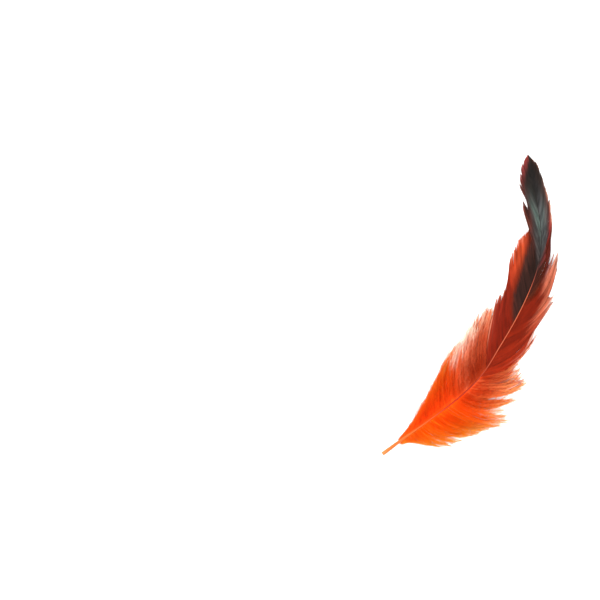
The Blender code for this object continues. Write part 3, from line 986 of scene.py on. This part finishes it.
# Down of the lower third.
# Here the barbs have no hooks. They lie in loose layers, pressed flat on the table, and each one
# is fringed with long fine barbules, which make the fluff.
LOCKS_DOWN_RIGHT = (
    (9, 0.5, 0.3, 0.1, 0), (14, 0.5, 0.4, 0.12, 0), (19, 0.5, 0.4, 0.1, 0),
    (23.5, 0.55, 0.45, 0.08, 0), (28, 0.55, 0.5, 0.1, 0), (32.5, 0.55, 0.5, 0.1, 0),
    (36.5, 0.6, 0.6, 0.08, 0), (40.5, 0.5, 0.5, 0.08, 0), (45.6, 0.45, 0.6, 0.08, 0),
    (51.5, 0.5, 0.5, 0.1, 0), (56, 0.5, 0.5, 0.1, 0), (62, 0.5, 0.5, 0.1, 0),
)
LOCKS_DOWN_LEFT = (
    (9, 0.5, 0.3, 0.08, 0), (15, 0.55, 0.5, 0.16, 0), (20, 0.55, 0.55, 0.16, 0),
    (24, 0.55, 0.6, 0.14, 0), (29, 0.5, 0.6, 0.14, 0), (34, 0.55, 0.6, 0.16, 0),
    (39, 0.6, 0.6, 0.14, 0), (43.5, 0.6, 0.5, 0.12, 0), (48, 0.6, 0.5, 0.12, 0),
    (52, 0.6, 0.5, 0.1, 0), (62, 0.6, 0.4, 0.1, 0),
)
DOWN_ROOTS_LEFT = (9.2, 60.6)
DOWN_ROOTS_RIGHT = (9.2, 56.2)
# As on the vanes: place along the shaft, and how much of a barb's length frays there
FRAY_LEFT = (
    (8, 0.2), (16, 0.34), (34, 0.34), (42, 0.36), (46, 0.4), (52, 0.3), (56, 0.12), (64, 0.1),
)
FRAY_RIGHT = ((8, 0.25), (24, 0.2), (40, 0.2), (64, 0.14))
# Each layer's height and the gap between its roots in mm, and its barbs' greatest half width
DOWN_LAYERS = (
    (0.7, 0.55, ((0.0, 0.24), (0.35, 0.2), (0.7, 0.08), (1.0, 0.03))),
    (1.5, 0.42, ((0.0, 0.2), (0.3, 0.16), (0.6, 0.06), (1.0, 0.03))),
    (2.5, 0.6, ((0.0, 0.14), (0.3, 0.1), (0.6, 0.05), (1.0, 0.03))),
)
# Barbules: the mm between two, where on a barb they are, their length in mm by that place, how
# uneven it is, the barb's length in mm at which it is full, its share on the shortest barb, their
# lean and tilt in degrees, their bend, and their radius in mm by root place
BARBULE_GAP = 0.18
BARBULE_PLACES = (0.02, 1.0)
BARBULE_LENGTH = ((0.0, 1.6), (0.15, 2.6), (0.6, 2.4), (0.9, 1.3), (1.0, 0.9))
BARBULE_UNEVEN = (0.6, 1.1)
FULL_BARB = 15.0
SHORTEST_SHARE = 0.2
BARBULE_LEAN = (14.0, 40.0)
BARBULE_TILT = 55.0
BARBULE_BEND = 0.9
BARBULE_RADIUS = ((38, 0.028), (44, 0.048), (58, 0.045), (62, 0.035))
BARBULE_TAPER = 0.75
BARBULE_TONE = 0.5
TOP_HEIGHT = 5.5
# A barbule's faces, from the ring at its root over the one at its bend to its tip, and its
# points' places on a square of the flat map
BARBULE_FACES = (
    ((0, 1, 4, 3), (1, 2, 5, 4), (2, 0, 3, 5)),
    ((3, 4, 6), (4, 5, 6), (5, 3, 6), (2, 1, 0)),
)
BARBULE_SPOTS = (
    (0.2, 0.2), (0.8, 0.2), (0.5, 0.3), (0.25, 0.5), (0.75, 0.5), (0.5, 0.6), (0.5, 0.9),
)


def fluff(name, barbs, seed):
    """The barbules along a layer of barbs: fine three-sided threads with one bend."""
    source = np.random.default_rng(seed)
    lengths = barbs.reached[:, -1]
    owners = np.repeat(np.arange(len(lengths)), (lengths / BARBULE_GAP).astype(int))
    count = len(owners)
    share = source.uniform(*BARBULE_PLACES, count)
    spot = share * BARB_STEPS
    step = np.minimum(spot.astype(int), BARB_STEPS - 1)
    part = (spot - step)[:, None]
    base = mix(barbs.points[owners, step], barbs.points[owners, step + 1], part)
    run = mix(barbs.run[owners, step], barbs.run[owners, step + 1], part)
    up = np.array([0.0, 0.0, 1.0])
    across = unit(np.cross(up, run))
    lean = np.radians(source.uniform(*BARBULE_LEAN, count))[:, None]
    tilt = np.radians(source.uniform(-BARBULE_TILT, BARBULE_TILT, count))[:, None]
    side = source.choice([-1.0, 1.0], count)[:, None]
    aside = across * side * np.cos(tilt) + up * np.sin(tilt)
    first = run * np.cos(lean) + aside * np.sin(lean)
    second = unit(first + run * BARBULE_BEND)
    length = read(BARBULE_LENGTH, share) * source.uniform(*BARBULE_UNEVEN, count)
    length = (length * np.minimum(1.0, SHORTEST_SHARE + lengths[owners] / FULL_BARB))[:, None]
    middle = base + first * length / 2
    tip = middle + second * length / 2
    beside = unit(np.cross(first, up))
    above = np.cross(first, beside)
    roots = barbs.roots[owners]
    thick = read(BARBULE_RADIUS, roots)[:, None]
    corners = []
    for centre, radius in ((base, thick), (middle, thick * BARBULE_TAPER)):
        for turn in np.arange(3) * (2.0 * math.pi / 3.0):
            corners.append(centre + (beside * math.cos(turn) + above * math.sin(turn)) * radius)
    corners = np.stack([*corners, tip], axis=1)
    corners[..., 2] = np.clip(corners[..., 2], FLOOR_GAP / 2, TOP_HEIGHT)
    each = len(BARBULE_SPOTS)
    start = (np.arange(count) * each)[:, None]
    faces = [np.vstack([start + loop for loop in np.array(kind)]) for kind in BARBULE_FACES]
    tone = barbs.tone[owners] + source.normal(0.0, BARBULE_TONE, count)
    per_thread = {"root": roots, "out": share, "tone": tone}
    numbers = {label: np.repeat(values[:, None], each, 1) for label, values in per_thread.items()}
    wide = math.ceil(math.sqrt(count))
    cell = np.stack([np.arange(count) % wide, np.arange(count) // wide], axis=-1)
    spots = (cell[:, None, :] + np.array(BARBULE_SPOTS)) / wide
    return joined_mesh(name, corners.reshape(-1, 3), faces, numbers, spots.reshape(-1, 2))


# Patches go by root place and share of the barb's length
DOWN_GRAIN = (0.6, 2.2, 5.0)
DOWN_OUTWARD = (0.1, 0.8)
DOWN_OUTWARD_RAGGED = 0.7
DOWN_ENDS = (0.52, 0.98)
DOWN_ENDS_RAGGED = 0.4
# By their tone, some hairs are brighter and some deeper in colour. The deep ones start and are
# full at these root places, on the left, 1, and the right, -1.
BRIGHT_TONE = (0.3, 2.2)
BRIGHT_SHARE = 0.8
DEEP_TONE = (-2.4, -0.3)
DEEP_HAIR = (0.7, 0.4, 0.3, 1.0)
DEEP_ENDS_LESS = 0.8
DEEP_FROM = {1: (35.0, 45.0), -1: (-5.0, 5.0)}
DOWN_TONE_SHADE = 0.06
DOWN_PATCH_SHADE = 0.5
DOWN_ROUGHNESS = 0.7
DOWN_SPECULAR = 0.05
# The share of the light that comes through the pale ends, and how much more does elsewhere
DOWN_END_GLOW = 0.05
DOWN_GLOW = 0.35


def down_material(name, hand, inner, outer, ends):
    """The dyed down: colours by root place and paler ends, on threads with a soft sheen."""
    material, inputs = bare_material(name)
    flow = Flow(material.node_tree)
    root, out, tone = (flow.attribute(label) for label in ("root", "out", "tone"))
    patches = grain(root, out, DOWN_GRAIN)
    place = (root + patches * COLOUR_SHIFT) * (1.0 / line.length)
    outward = (out + patches * DOWN_OUTWARD_RAGGED).between(*DOWN_OUTWARD)
    base = flow.blend(place.ramp(inner), place.ramp(outer), outward)
    faded = (out + patches * DOWN_ENDS_RAGGED + tone * ENDS_UNEVEN).between(*DOWN_ENDS)
    base = flow.blend(base, place.ramp(ends), faded)
    base = flow.blend(base, place.ramp(outer), tone.between(*BRIGHT_TONE) * BRIGHT_SHARE)
    deep = (1.0 - tone.between(*DEEP_TONE)) * (1.0 - faded * DEEP_ENDS_LESS)
    deep = deep * root.between(*DEEP_FROM[hand])
    base = flow.blend(base, DEEP_HAIR, deep, "MULTIPLY")
    shade = 1.0 + tone * DOWN_TONE_SHADE + patches * DOWN_PATCH_SHADE
    coat(inputs, shaded(base, shade), DOWN_ROUGHNESS, DOWN_SPECULAR, None)
    let_through(flow, (1.0 - faded) * DOWN_GLOW + DOWN_END_GLOW)
    return material


# What comes back from a white place in the down, whose threads shade each other and glow red
DOWN_LIGHT = np.array([1.05, 0.74, 0.78])
LEFT_COLOURS = (
    (
        (8, 251, 96, 20), (20, 250, 64, 10), (32, 250, 66, 10), (39, 244, 68, 16),
        (45, 206, 56, 14), (52, 170, 46, 16), (66, 152, 43, 20),
    ),
    (
        (8, 251, 116, 40), (20, 253, 88, 11), (34, 254, 94, 18), (40, 250, 92, 30),
        (44, 250, 112, 70), (49, 250, 128, 92), (54, 250, 110, 72), (66, 214, 72, 44),
    ),
    (
        (8, 252, 130, 60), (30, 252, 112, 34), (36, 252, 124, 60), (41, 255, 214, 204),
        (50, 255, 204, 190), (55, 252, 156, 124), (66, 244, 130, 100),
    ),
)
RIGHT_COLOURS = (
    (
        (8, 250, 110, 30), (18, 253, 72, 4), (30, 253, 67, 2), (40, 252, 72, 8), (46, 222, 58, 14),
        (54, 208, 58, 22), (66, 170, 48, 24),
    ),
    (
        (8, 250, 140, 50), (18, 250, 122, 24), (28, 250, 112, 20), (38, 253, 104, 24),
        (46, 253, 112, 58), (52, 254, 134, 82), (58, 236, 102, 64), (66, 180, 60, 36),
    ),
    (
        (8, 226, 140, 70), (22, 236, 124, 50), (32, 242, 128, 60), (44, 250, 136, 84),
        (56, 248, 136, 90), (66, 236, 120, 86),
    ),
)
# How much higher the seeds of the fluff are than those of its barbs
FLUFF_SEED = 5

for side, hand, rows, locks, span, colours, fray, seed in (
    ("left", 1, LOWER_LEFT, LOCKS_DOWN_LEFT, DOWN_ROOTS_LEFT, LEFT_COLOURS, FRAY_LEFT, 31),
    ("right", -1, LOWER_RIGHT, LOCKS_DOWN_RIGHT, DOWN_ROOTS_RIGHT, RIGHT_COLOURS, FRAY_RIGHT, 41),
):
    ramps = [along_shaft(*stops, light=DOWN_LIGHT) for stops in colours]
    material = down_material("dyed_down_" + side, hand, *ramps)
    for number, (level, gap, widest) in enumerate(DOWN_LAYERS):
        barbs = Groomed(rows, hand, locks, span, gap, seed + number, level, fray)
        name = f"down_{side}_{number}"
        fit(name, blades(name, barbs, widest), material)
        name = f"fluff_{side}_{number}"
        fit(name, fluff(name, barbs, seed + FLUFF_SEED + number), material)
